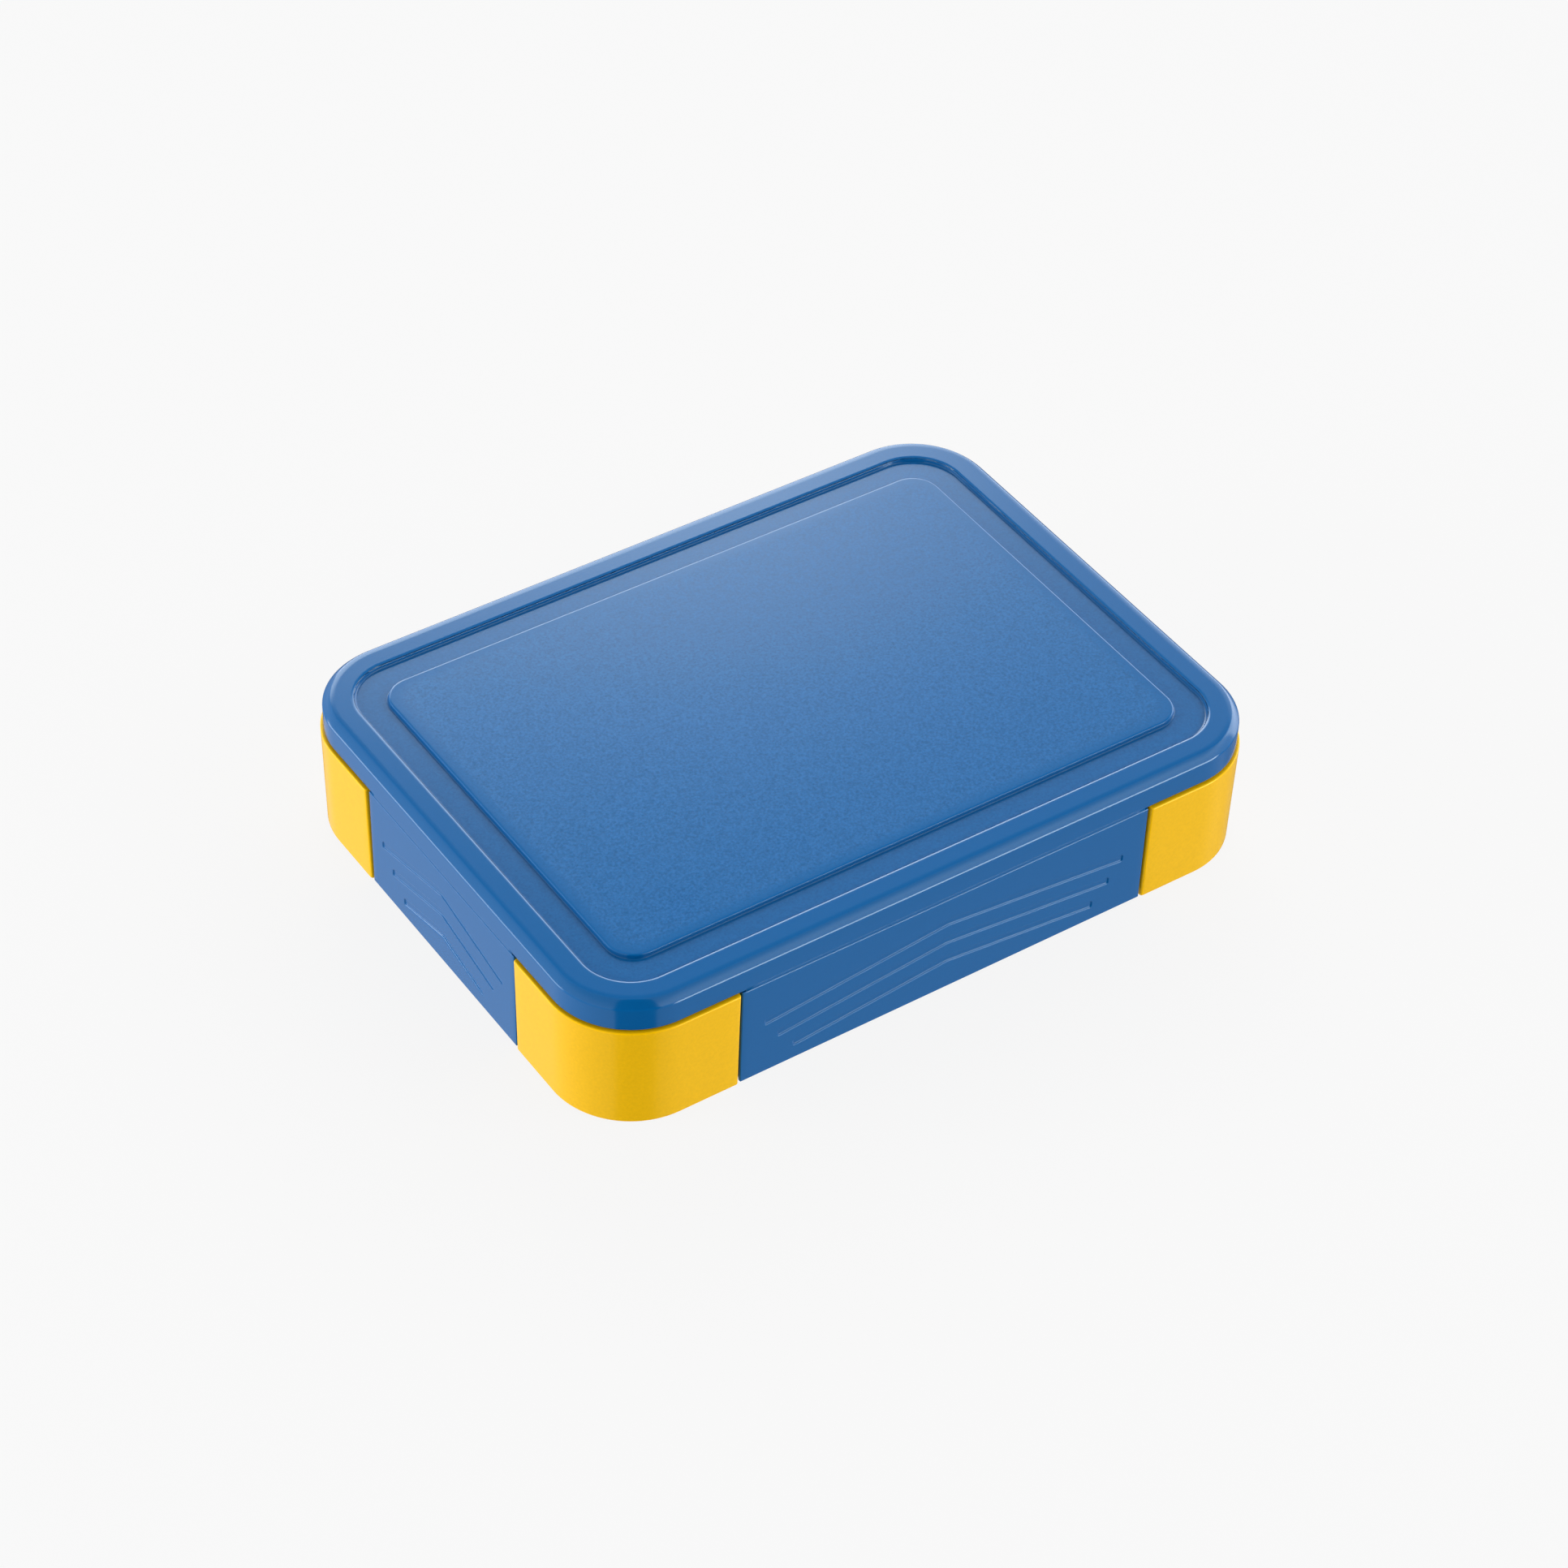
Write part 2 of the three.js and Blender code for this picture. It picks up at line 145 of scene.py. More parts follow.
# ---- The plan outline -----------------------------------------------------------------------------
def plan_columns(long_stops, short_stops, arc=22):
    """The columns round the outline, counter-clockwise from the front side.

    Returns arrays: cx, cy the corner's signs (0 on a side), nx, ny the outward normal, t the fixed distance
    along a side, and end, -1 or 1 for the two columns where a side meets its corners.
    """
    rows = []
    quarter = np.linspace(0, math.pi / 2, arc + 1)[1:-1]
    for (nx, ny), stops, (sx, sy), start in (
        ((0, -1), long_stops, (1, -1), -math.pi / 2),
        ((1, 0), short_stops, (1, 1), 0.0),
        ((0, 1), long_stops, (-1, 1), math.pi / 2),
        ((-1, 0), short_stops, (-1, -1), math.pi),
    ):
        straight = np.array([(0, 0, nx, ny, s, 0.0) for s in stops])
        bend = np.array([(sx, sy, math.cos(start + q), math.sin(start + q), 0, 0.0) for q in quarter])
        rows += [[(0, 0, nx, ny, 0, -1.0)], straight, [(0, 0, nx, ny, 0, 1.0)], bend]
    cols = np.vstack(rows)
    return dict(zip(("cx", "cy", "nx", "ny", "t", "end"), cols.T))


def outline(cols, inset, radius, t=None):
    """Points of the outline moved in by `inset`, with that corner radius, as rows x columns.

    On a corner: (half - inset - radius) along each axis to the arc's centre, and from there radius times the
    normal. On a side: half - inset along the normal, and t along the side. The two end columns of a side stand
    where its arcs begin.
    """
    nx, ny, cx, cy = (cols[k][None, :] for k in ("nx", "ny", "cx", "cy"))
    t = cols["t"][None, :] if t is None else t
    ax, ay = HALF_X - inset - radius, HALF_Y - inset - radius
    along_x, along_y = -ny, nx                  # unit vector along the side, counter-clockwise
    reach = np.where(np.abs(nx) > 0.5, ay, ax) * cols["end"][None, :]
    run = np.where(cols["end"][None, :] != 0, reach, t)
    corner = cx != 0
    x = np.where(corner, cx * ax + radius * nx, nx * (HALF_X - inset) + along_x * run)
    y = np.where(corner, cy * ay + radius * ny, ny * (HALF_Y - inset) + along_y * run)
    return x, y


PLAIN = plan_columns([-70, -35, 0, 35, 70], [-40, 0, 40])


def skin(name, cols, inset, radius, z, material, attributes=None, t=None, closed=False):
    """A closed skin: one row of the outline per height. Its two end rows are filled in, or joined when closed."""
    count = len(cols["t"])
    x, y = outline(cols, inset, radius, t)
    rows = x.shape[0]
    verts = np.stack([x, y, np.broadcast_to(z, x.shape)], -1).reshape(-1, 3)
    faces = grid_faces(rows, count)
    if closed:
        last = (rows - 1) * count
        faces += [[last + i, last + (i + 1) % count, (i + 1) % count, i] for i in range(count)]
    else:
        faces += [list(range(count))[::-1], list(range((rows - 1) * count, rows * count))]
    spread = {k: np.broadcast_to(v, x.shape).reshape(-1) for k, v in (attributes or {}).items()}
    return make_piece(name, verts, faces, material, spread)


def carried_faces(rows, columns):
    """Faces of a closed section of `rows` points carried along `columns` stops, with both ends filled in."""
    last = (rows - 1) * columns
    faces = grid_faces(rows, columns, wrap=False)
    faces += [[last + i, last + i + 1, i + 1, i] for i in range(columns - 1)]
    start = [row * columns for row in range(rows)]
    return faces + [start[::-1], [first + columns - 1 for first in start]]


# ---- Effects shared by the finishes ---------------------------------------------------------------
class Graph:
    """Short way to place and join nodes."""

    def __init__(self, tree):
        self.tree = tree

    def node(self, kind, values=None, **settings):
        made = self.tree.nodes.new(kind)
        for key, value in settings.items():
            setattr(made, key, value)
        for key, value in (values or {}).items():
            if isinstance(value, bpy.types.NodeSocket):
                self.tree.links.new(value, made.inputs[key])
            else:
                made.inputs[key].default_value = value
        return made

    def math(self, operation, a, b=0.0, clamp=False):
        return self.node("ShaderNodeMath", {0: a, 1: b}, operation=operation, use_clamp=clamp).outputs[0]


def effect(name, inputs, outputs):
    """An empty shader node group with these sockets, given as name: (type, value)."""
    tree = bpy.data.node_groups.new(name, "ShaderNodeTree")
    for key, (kind, value) in inputs.items():
        socket = tree.interface.new_socket(name=key, in_out="INPUT", socket_type=kind)
        socket.default_value = value
    for key, kind in outputs.items():
        tree.interface.new_socket(name=key, in_out="OUTPUT", socket_type=kind)
    graph = Graph(tree)
    return graph, graph.node("NodeGroupInput"), graph.node("NodeGroupOutput")


def moulded_grain():
    """Height of a spark-eroded mould grain: fine rounded pits over a broader, weaker unevenness."""
    g, given, out = effect("Moulded grain", {
        "Vector": ("NodeSocketVector", (0, 0, 0)), "Size": ("NodeSocketFloat", 1500.0),
        "Amount": ("NodeSocketFloat", 1.0),
    }, {"Height": "NodeSocketFloat", "Mask": "NodeSocketFloat"})
    fine = g.node("ShaderNodeTexNoise", {"Vector": given.outputs["Vector"], "Scale": given.outputs["Size"],
                                         "Detail": 2.0, "Roughness": 0.55})
    wide = g.node("ShaderNodeTexNoise", {"Vector": given.outputs["Vector"], "Scale": 210.0, "Detail": 2.0})
    pits = g.math("MULTIPLY", fine.outputs[0], given.outputs["Amount"])
    height = g.math("ADD", pits, g.math("MULTIPLY", wide.outputs[0], 0.12))
    g.tree.links.new(height, out.inputs["Height"])
    g.tree.links.new(fine.outputs[0], out.inputs["Mask"])
    return g.tree


def painted_edge_light_and_mottle():
    """Painted edge light: edges are a little lighter than flats, a painted highlight, and hollows darker, painted
    shade. Edges are also a little smoother, and the grain mottles the colour. Edge runs from -1 to 1.
    """
    g, given, out = effect("Painted edge light and mottle", {
        "Colour": ("NodeSocketColor", (0.5, 0.5, 0.5, 1)), "Edge": ("NodeSocketFloat", 0.0),
        "Roughness": ("NodeSocketFloat", 0.4), "Mask": ("NodeSocketFloat", 0.5),
        "Mottle": ("NodeSocketFloat", 0.06),
    }, {"Colour": "NodeSocketColor", "Roughness": "NodeSocketFloat"})
    raised = g.math("MAXIMUM", given.outputs["Edge"], 0.0)
    crease_shade = g.math("MAXIMUM", g.math("MULTIPLY", given.outputs["Edge"], -1.0), 0.0)
    speck = g.math("MULTIPLY", g.math("SUBTRACT", given.outputs["Mask"], 0.5), given.outputs["Mottle"])
    # painted highlight: turned-out edges are lighter in colour
    value = g.math("ADD", g.math("MULTIPLY", raised, 0.16), 1.0)
    # painted shade: hollows are darker in colour
    value = g.math("ADD", value, g.math("MULTIPLY", crease_shade, -0.08))
    value = g.math("ADD", value, speck)
    tinted = g.node("ShaderNodeHueSaturation", {"Hue": 0.5, "Saturation": 1.0, "Value": value,
                                                "Color": given.outputs["Colour"]})
    change = g.math("ADD", g.math("MULTIPLY", raised, -0.08), g.math("MULTIPLY", speck, 0.12))
    rough = g.math("ADD", given.outputs["Roughness"], change, clamp=True)
    g.tree.links.new(tinted.outputs[0], out.inputs["Colour"])
    g.tree.links.new(rough, out.inputs["Roughness"])
    return g.tree


GRAIN, EDGE_LIGHT_AND_MOTTLE = moulded_grain(), painted_edge_light_and_mottle()


def plastic(name, colour, roughness, grain_size, grain_depth, mottle, specular=0.5, tint=(1, 1, 1)):
    """Moulded plastic. The vertex value `grain` says where the mould was textured, and `edge` where it turns.

    The roughness is given for a smooth and for a textured place. grain_size is the number of pits in a metre,
    grain_depth their depth in millimetres, and mottle how much the grain lightens and darkens the colour.
    The colour is also lighter where `edge` marks a turned-out edge, a painted highlight, and darker in a hollow,
    painted shade.
    """
    smooth, rough = roughness
    mat = bpy.data.materials.new(name)
    mat.use_nodes = True
    g = Graph(mat.node_tree)
    g.tree.nodes.clear()
    place = g.node("ShaderNodeTexCoord").outputs["Object"]
    textured = g.node("ShaderNodeAttribute", attribute_name="grain").outputs["Fac"]
    turn = g.node("ShaderNodeAttribute", attribute_name="edge").outputs["Fac"]
    grain = g.node("ShaderNodeGroup", {}, node_tree=GRAIN)
    g.tree.links.new(place, grain.inputs["Vector"])
    grain.inputs["Size"].default_value = grain_size
    amount = g.math("ADD", g.math("MULTIPLY", textured, 0.85), 0.15)
    g.tree.links.new(amount, grain.inputs["Amount"])
    surface = g.math("ADD", g.math("MULTIPLY", textured, rough - smooth), smooth)
    edge_light_and_mottle = g.node("ShaderNodeGroup", {}, node_tree=EDGE_LIGHT_AND_MOTTLE)
    edge_light_and_mottle.inputs["Colour"].default_value = (*colour, 1)
    g.tree.links.new(g.math("MULTIPLY", textured, mottle), edge_light_and_mottle.inputs["Mottle"])
    # the edge value lightens turned-out edges as a painted highlight and darkens hollows as painted shade
    g.tree.links.new(turn, edge_light_and_mottle.inputs["Edge"])
    g.tree.links.new(surface, edge_light_and_mottle.inputs["Roughness"])
    g.tree.links.new(grain.outputs["Mask"], edge_light_and_mottle.inputs["Mask"])
    bump = g.node("ShaderNodeBump", {"Strength": 1.0, "Distance": grain_depth * MM,
                                     "Height": grain.outputs["Height"]})
    shader = g.node("ShaderNodeBsdfPrincipled", {
        "Base Color": edge_light_and_mottle.outputs["Colour"], "Roughness": edge_light_and_mottle.outputs["Roughness"],
        "Normal": bump.outputs["Normal"], "IOR": 1.49, "Specular IOR Level": specular,
        "Specular Tint": (*tint, 1),
    })
    out = g.node("ShaderNodeOutputMaterial")
    g.tree.links.new(shader.outputs[0], out.inputs["Surface"])
    return mat


BLUE = plastic("Blue polypropylene", (0.0015, 0.092, 0.285), (0.12, 0.18), 1250.0, 0.008, mottle=0.9,
               tint=(0.78, 0.96, 1.0))
YELLOW = plastic("Yellow polypropylene", (0.77, 0.435, 0.0), (0.20, 0.24), 1100.0, 0.006, mottle=0.28,
                 specular=0.45, tint=(1.0, 0.85, 0.3))
PALE = plastic("Pale tray plastic", (0.76, 0.79, 0.81), (0.30, 0.42), 1400.0, 0.012, mottle=0.03)
SEAL = plastic("Silicone seal", (0.80, 0.80, 0.76), (0.55, 0.60), 900.0, 0.02, mottle=0.03)


# ---- Lid ------------------------------------------------------------------------------------------
RIM_IN, RING_IN, PANEL_IN = 10.3, 10.65, 20.2   # insets of the rim's inner edge, the ring and the panel
SHOULDER = 2.6                                  # width of the sloping shoulder
RING_DEEP = 1.55                                # depth of the ring below rim and panel
LID_WALL = 1.8


def lid_radius(inset):
    """Corner radius by inset: concentric at the edge, a little tighter at the rim, a little fuller further in."""
    insets = [-2, 0, 5.4, 9.9, 10.7, 19.4, PANEL_IN, 22]
    return np.interp(inset, insets, [CORNER + 2, CORNER, 22.3, 17.2, 16.5, 10.2, 9.3, 8.0])


def shoulder():
    """The shoulder lies below the rim by drop * (1 - s)^1.35, with s its width's share from the edge inwards."""
    shares = 1 - np.linspace(0.91, 0.0, 11) ** 1.5
    return [(SHOULDER * s, TOP - (TOP - EDGE_Z) * (1 - s) ** 1.35, 0) for s in shares]


def build_lid():
    """One shell: from the middle of its underside out along ribs and skirt, over the shoulder to the panel."""
    under, ring = TOP - LID_WALL, TOP - RING_DEEP
    ring_under, skirt, rib = ring - LID_WALL, HINGE_Z + 0.32, HINGE_Z + 2.6
    profile = rounded([
        (24.0, under, 0), (21.6, under, 0.5), (20.8, ring_under, 0.5), (8.4, ring_under, 0.5),
        (8.2, under, 0.5), (6.7, under, 0.3), (6.55, rib, 0.35), (5.2, rib, 0.35), (5.15, CHANNEL_Z, 0.35),
        (2.2, CHANNEL_Z, 0.35), (2.05, skirt, 0.2), (0.0, skirt, 0.22), (0.0, EDGE_Z, 0.44), *shoulder(),
        (4.2, TOP, 0), (RIM_IN - 2.4, TOP, 0), (RIM_IN - 0.4, TOP, 0.55), (RIM_IN, TOP - 0.4, 0.26),
        (RING_IN, ring, 0.4), (PANEL_IN - 0.3, ring, 0.35), (PANEL_IN, TOP, 0.5), (PANEL_IN + 5.0, TOP, 0),
    ])
    inset, z = profile.T
    outside = np.arange(len(z)) > np.argmax(inset < 0.3)
    panel = outside & (z > ring_under + 1.0) & (inset > PANEL_IN + 2.0)
    floor_of_ring = outside & (inset > RING_IN) & (inset < PANEL_IN - 0.8)
    grain = np.where(panel, 1.0, np.where(floor_of_ring, 0.62, 0.10))
    # the edge value paints highlights along the lid's turned-out edges and shade in its hollows and creases
    return skin("lid_shell", PLAIN, column(inset), column(lid_radius(inset)), column(z), BLUE,
                {"grain": column(grain), "edge": column(turning(inset, z))})


# ---- Gasket ---------------------------------------------------------------------------------------
def build_gasket():
    """A ring of D section: two lips below, a flat back above, carried round the outline."""
    low, high = LIP_Z + 0.3, CHANNEL_Z - 0.2
    profile = rounded([
        (3.7, low + 0.55, 0.1), (3.2, low, 0.25), (2.6, low + 0.2, 0.3), (2.5, high, 0.25), (4.8, high, 0.25),
        (4.7, low + 0.2, 0.3), (4.2, low, 0.25), (3.72, low + 0.55, 0),
    ][::-1], 4)[1:]
    inset, z = profile.T
    return skin("gasket_ring", PLAIN, column(inset), column(CORNER - inset), column(z), SEAL,
                {"grain": column(np.full(len(z), 0.4)), "edge": column(0 * z)}, closed=True)


# ---- Base -----------------------------------------------------------------------------------------
POCKET_IN, RIDGE_IN = 4.0, 3.1                  # insets of the wall behind a flap and of its catch ridge
POCKET_R1, POCKET_R2 = 0.8, 0.5                 # radii of a pocket's outer and inner edge
FLOOR_TOP = 2.6                                 # inside of the base's floor


def pocket_columns():
    """Columns of the base. They crowd together round the ends of each flap pocket to carry its side walls.

    Per column: k1 k2 k3, how deep it lies as k1*r1 + k2*D - k3*r2 with D the pocket's depth and r1, r2 the
    radii of its outer and inner edge; shift, which way its side wall moves where the skin is the inside of
    the box; and ridge, 1 where the catch ridge runs.
    """
    phi = np.linspace(0, math.pi / 2, 6)
    step = [(-POCKET_R1 * (1 - math.sin(p)), 1 - math.cos(p), 0, 0) for p in phi]
    step += [(0.12 + POCKET_R2 * (1 - math.cos(p)), 0, 1, 1 - math.sin(p)) for p in phi]
    cells = {}
    for key, half in (("long", SPAN["front"] + SIDE_GAP), ("short", SPAN["left"] + SIDE_GAP)):
        ridge_end = (half - SIDE_GAP) * 0.6
        entry = [(-half - 6, 0, 0, 0, 0, 0), (-half - 3.2, 0, 0, 0, 0, 0)]
        entry += [(-half + d, a, b, c, -1, 0) for d, a, b, c in step]
        entry += [(-half + 2.0, 0, 1, 0, 0, 0), (-ridge_end - 0.1, 0, 1, 0, 0, 0)]
        entry += [(-ridge_end + w * 0.9, 0, 1, 0, 0, w) for w in (0.25, 0.5, 0.75, 1.0)]
        entry += [(-ridge_end / 2, 0, 1, 0, 0, 1)]
        mirrored = [(-t, a, b, c, -s, w) for t, a, b, c, s, w in entry[::-1]]
        cells[key] = np.array(entry + [(0, 0, 1, 0, 0, 1)] + mirrored)
    cols = plan_columns(cells["long"][:, 0], cells["short"][:, 0])
    extra = np.zeros((len(cols["t"]), 5))
    for (nx, ny), key in (((0, -1), "long"), ((1, 0), "short"), ((0, 1), "long"), ((-1, 0), "short")):
        here = (cols["nx"] == nx) & (cols["ny"] == ny) & (cols["cx"] == 0) & (cols["end"] == 0)
        extra[here] = cells[key][:, 1:]
    return cols, extra.T


def build_base():
    """One shell from the middle of the underside, over the foot ring, up the wall and lip, and down inside.

    Each row has two profiles, one at the corners and one in the flap pockets, and the columns blend them.
    """
    lower, upper, top, step_z = FOOT, 36.4, LEDGE_Z, LEDGE_Z - 0.5
    points = [  # corner inset, corner z, pocket inset, pocket z, cut, 1 on the inside of the box
        (16.0, lower, 16.0, lower, 0, 0), (12.6, lower, 12.6, lower, 0.3, 0), (12.1, 0, 12.1, 0, 0.25, 0),
        (9.0, 0, 9.0, 0, 0.25, 0), (8.4, lower, 8.4, lower, 0.3, 0), (5.4, lower, 5.4, lower, 0, 0),
        (-0.35, lower, POCKET_IN, lower, 0.4, 0), (-0.62, 17.6, POCKET_IN, 17.6, 0, 0),
        (-0.66, 19.6, POCKET_IN, 19.6, 0.3, 0), (-0.67, 20.6, RIDGE_IN, 20.6, 0.3, 0),
        (-0.69, 21.5, RIDGE_IN, 21.5, 0.3, 0), (-0.71, 22.8, POCKET_IN, 22.8, 0.3, 0),
        (-0.73, 25.0, POCKET_IN, 25.0, 0, 0), (-0.93, 35.4, POCKET_IN, 35.4, 0.3, 0),
        (-0.95, upper, 3.0, upper, 0.25, 0), (-1.0, top, 3.0, step_z, 0.55, 0),
        (2.9, top, 3.0, top + 0.9, 0.3, 0), (3.0, LIP_Z, 3.0, LIP_Z, 0.45, 0), (4.8, LIP_Z, 4.8, LIP_Z, 0.45, 0),
        (4.8, 37.3, 4.8, 37.3, 0.25, 1), (1.2, 36.6, 5.8, 37.25, 0.3, 1), (1.75, 4.6, 5.9, 4.9, 1.2, 1),
        (4.2, FLOOR_TOP, 7.6, FLOOR_TOP, 1.0, 1), (14.0, FLOOR_TOP, 14.0, FLOOR_TOP, 0, 1),
    ]
    corner = rounded([(inset, z, inner, cut) for inset, z, _, _, cut, inner in points])
    pocket = rounded([(inset, z, inner, cut) for _, _, inset, z, cut, inner in points])
    no_ridge = rounded([(POCKET_IN if inset == RIDGE_IN else inset, z, inner, cut)
                        for _, _, inset, z, cut, inner in points])
    cols, (k1, k2, k3, shift, ridge) = pocket_columns()
    corner_in, corner_z = column(corner[:, 0]), column(corner[:, 1])
    pocket_in = column(no_ridge[:, 0]) + column(pocket[:, 0] - no_ridge[:, 0]) * ridge
    depth = pocket_in - corner_in
    outer_r, inner_r = (np.minimum(r, 0.4 * np.abs(depth)) for r in (POCKET_R1, POCKET_R2))
    inset = corner_in + k1 * outer_r + k2 * depth - k3 * inner_r
    in_pocket = np.where(k2 > 0, 1.0, 0.0)
    z = corner_z + (column(pocket[:, 1]) - corner_z) * in_pocket
    inside = column(np.clip(corner[:, 2], 0, 1))
    t = cols["t"][None, :] + 1.9 * shift * inside
    # edge: painted highlight on the base's turned-out edges and pocket rims, painted shade in its hollows
    corner_edge, pocket_edge = (column(turning(line[:, 0], line[:, 1])) for line in (corner, pocket))
    edge = corner_edge * (1 - in_pocket) + pocket_edge * in_pocket
    pocket_rim_highlight = np.where((k1 > 0) & (k1 < 1), 0.7, 0.0)
    edge = np.maximum(edge, pocket_rim_highlight * (np.abs(depth) > 2) * (1 - inside))
    return skin("base_shell", cols, inset, np.maximum(CORNER - inset, 2.0), z, YELLOW,
                {"grain": np.ones_like(inset) * 0.7, "edge": edge}, t=t)


# ---- Flaps and their hinges -----------------------------------------------------------------------
# each groove's height above the flap's foot, and how far it stops short of the end of a long and a short flap
GROOVES = ((20.0, 8.5, 7.3), (12.65, 13.4, 13.1), (5.3, 19.2, 19.6))
GROOVE_WIDE, GROOVE_DEEP, GROOVE_ROUND, GROOVE_WALL = 2.5, 0.42, 0.7, 0.48
LONG_SLOPE, SHORT_SLOPE = 0.104, 0.235          # how steeply the grooves fall from their middle to their ends
BEND_ROUND = 0.35                               # rounds the bend in the middle of a groove
FLAP_FACE, FLAP_THICK = 0.4, 1.8                # where the face stands outside the hinge axis, and the wall
END_ROUND = 0.35                                # radius round a flap's two ends
FLAP_TILT = math.atan(0.3 / (HINGE_Z - FOOT))   # the flap leans in by 0.3 mm down to its foot


def side_frame(side):
    """Matrix from a side's own axes (x outwards, y up, z along) to the model's, and its hinge's place."""
    joint = JOINTS[f"flap_{side}_swing"]
    nx, ny = SIDES[side]
    out, up = np.array([nx, ny, 0.0]), np.array([0.0, 0, 1])
    return np.stack([out, up, np.cross(out, up)], 1), np.array(joint["pos_m"]) / MM


def dense(low, high, marks, reach, fine, coarse):
    """Stops from low to high, `fine` apart within `reach` of each mark and about `coarse` apart elsewhere."""
    stops = [low, high]
    for mark in marks:
        stops += list(np.arange(mark - reach, mark + reach + fine / 2, fine))
    stops = np.unique(np.round([s for s in stops if low <= s <= high], 4))
    filled = [stops[0]]
    for s in stops[1:]:
        n = max(1, int(round((s - filled[-1]) / coarse)))
        filled += list(np.linspace(filled[-1], s, n + 1)[1:])
    filled = np.array(filled)
    return filled[np.concatenate([[True], np.diff(filled) > fine * 0.45])]


def flap_piece(side):
    """A flap: one closed section (face, foot, back with its snap bead, top) carried from end to end.

    Rows of the face run parallel to the bent grooves: height = row + slope * (L - |z|), eased to nothing at
    the flap's top and foot. A groove keeps that slope from its own ends, so its middle line lies at
    low + w/2 + slope * (end - |z|), with w its width. It sinks the face by depth * S((e/2 - d) / e), with d the
    distance from its outline, S a smooth step and e the width of its wall.
    """
    span = SPAN[side]
    short = side in ("left", "right")
    slope = SHORT_SLOPE if short else LONG_SLOPE
    back = FLAP_FACE - FLAP_THICK
    top, foot = -0.32, FOOT + 0.03 - HINGE_Z
    ends = [span - (short_cut if short else long_cut) for _, long_cut, short_cut in GROOVES]
    lows = [foot + low for low, _, _ in GROOVES]
    along = dense(-span, span, [sign * end for end in ends for sign in (1, -1)] + [0.0], 0.9, 0.14, 2.4)
    round_end = np.array([0.0, 0.03, 0.10, 0.2, END_ROUND])
    along = np.unique(np.concatenate([along[(along > -span + 0.5) & (along < span - 0.5)],
                                      -span + round_end, span - round_end]))
    from_middle = np.sqrt(along ** 2 + BEND_ROUND ** 2)
    starts = [low - slope * (max(ends) - end) for low, end in zip(lows, ends)]
    marks = starts + [start + GROOVE_WIDE for start in starts]
    rows = dense(foot + 0.9, top - 9.2 if short else top - 7.8, marks, 0.45, 0.09, 0.8)[::-1]
    head = np.linspace(top - 0.55, rows[0], 8)[:-1]
    face_row = np.concatenate([head, rows, [foot + 0.55]])
    ease = np.concatenate([np.linspace(0, 1, 8)[:-1], np.clip((rows - foot - 0.9) / 1.4, 0, 1), [0.0]])
    height = column(face_row) + column(ease) * (slope * (max(ends) - from_middle))[None, :]
    sink = np.zeros_like(height)
    for low, end in zip(lows, ends):
        middle = low + GROOVE_WIDE / 2 + slope * (end - from_middle)[None, :]
        across = np.abs(height - middle) * math.cos(math.atan(slope)) - (GROOVE_WIDE / 2 - GROOVE_ROUND)
        past_end = np.abs(along)[None, :] - (end - GROOVE_ROUND) + 0 * height
        outside = np.hypot(np.maximum(across, 0), np.maximum(past_end, 0))
        distance = outside + np.minimum(np.maximum(past_end, across), 0) - GROOVE_ROUND
        s = np.clip((GROOVE_WALL / 2 - distance) / GROOVE_WALL, 0, 1)
        sink = np.maximum(sink, GROOVE_DEEP * s * s * (3 - 2 * s))
    bead = 0.535 * HINGE_Z - 2.6 - HINGE_Z
    rest = rounded([
        (FLAP_FACE, foot + 0.5, 0), (FLAP_FACE, foot, 0.22), (back + 0.7, foot, 0.25),
        (back, foot + 2.5, 0.5), (back, bead - 1.5, 0.35), (back - 0.8, bead - 0.2, 0.25),
        (back - 0.8, bead + 0.5, 0.25), (back, bead + 1.0, 0.35), (back, top, 0.3), (FLAP_FACE, top, 0.40),
        (FLAP_FACE, top - 0.5, 0),
    ], 4)
    n_face, n_rest, count = len(face_row), len(rest), len(along)
    o = np.vstack([FLAP_FACE - sink, np.broadcast_to(column(rest[:, 0]), (n_rest, count))])
    h = np.vstack([height, np.broadcast_to(column(rest[:, 1]), (n_rest, count))])
    # at its ends the section draws in towards its middle along a quarter circle
    to_end = np.clip(span - np.abs(along), 0, END_ROUND) / END_ROUND
    draw = END_ROUND * (1 - np.sqrt(np.clip(1 - (1 - to_end) ** 2, 0, 1)))[None, :]
    from_o, from_h = o - (FLAP_FACE - FLAP_THICK / 2), h - (top + foot) / 2
    o = o - np.sign(from_o) * np.minimum(draw, np.abs(from_o) * 0.9)
    h = h - np.sign(from_h) * np.minimum(draw, np.abs(from_h) * 0.9)
    lean_cos, lean_sin = math.cos(-FLAP_TILT), math.sin(-FLAP_TILT)
    basis, place = side_frame(side)
    local = np.stack([o * lean_cos - h * lean_sin, o * lean_sin + h * lean_cos,
                      np.broadcast_to(along[None, :], o.shape)], -1)
    # painted highlight on each groove's lower wall, painted shade on its upper wall, and a painted highlight
    # along the flap's top and foot edges
    steeper = np.gradient(sink, axis=0)
    edge = np.zeros_like(o)
    edge[:n_face] = np.clip(np.abs(steeper) * 6, 0, 1) * np.where(steeper < 0, 1, -0.3)
    edge[n_face:] = 0.4 * (column(rest[:, 0]) > FLAP_FACE - 0.3)
    made = make_piece(f"flap_{side}_panel", (local @ basis.T + place).reshape(-1, 3),
                      carried_faces(n_face + n_rest, count), BLUE,
                      {"grain": np.full(o.size, 0.12), "edge": edge.reshape(-1)})
    fix_normals(made)
    return made


def fix_normals(obj):
    """Turns every face outwards."""
    bm = bmesh.new()
    bm.from_mesh(obj.data)
    bmesh.ops.recalc_face_normals(bm, faces=bm.faces)
    bm.to_mesh(obj.data)
    bm.free()


